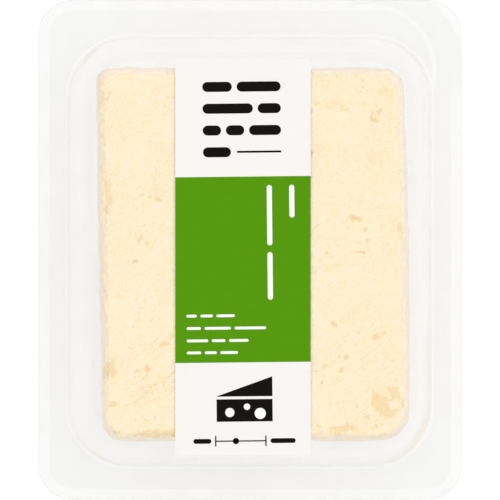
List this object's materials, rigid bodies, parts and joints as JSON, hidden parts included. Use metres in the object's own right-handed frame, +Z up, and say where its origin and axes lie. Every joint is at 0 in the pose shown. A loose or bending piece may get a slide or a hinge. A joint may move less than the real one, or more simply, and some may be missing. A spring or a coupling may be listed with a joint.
{
  "type": "packed feta block",
  "caption": "Rectangular block of feta sealed in a clear formed tray with a flat flange, a clear lid film and a paper label strip; holds and shows the cheese.",
  "frame": {"origin": "middle of the pack's box at the underside of the tray's floor, which is what it rests on", "axes": "+Z up through the label, +Y along the pack towards the label's upper end, +X to the right as the label reads"},
  "size_m": [0.106, 0.125, 0.0277],
  "materials": {
    "clear_tray": "clear, glossy formed sheet",
    "feta": "moist, matt, finely pitted and crumbly at the edges",
    "clear_film": "clear, glossy, taut",
    "label_paper": "smooth coated paper, white with a green field"
  },
  "bodies": {
    "root": {"tray": "clear_tray", "feta_block": "feta", "lid_film": "clear_film", "label": "label_paper"}
  },
  "joints": []
}
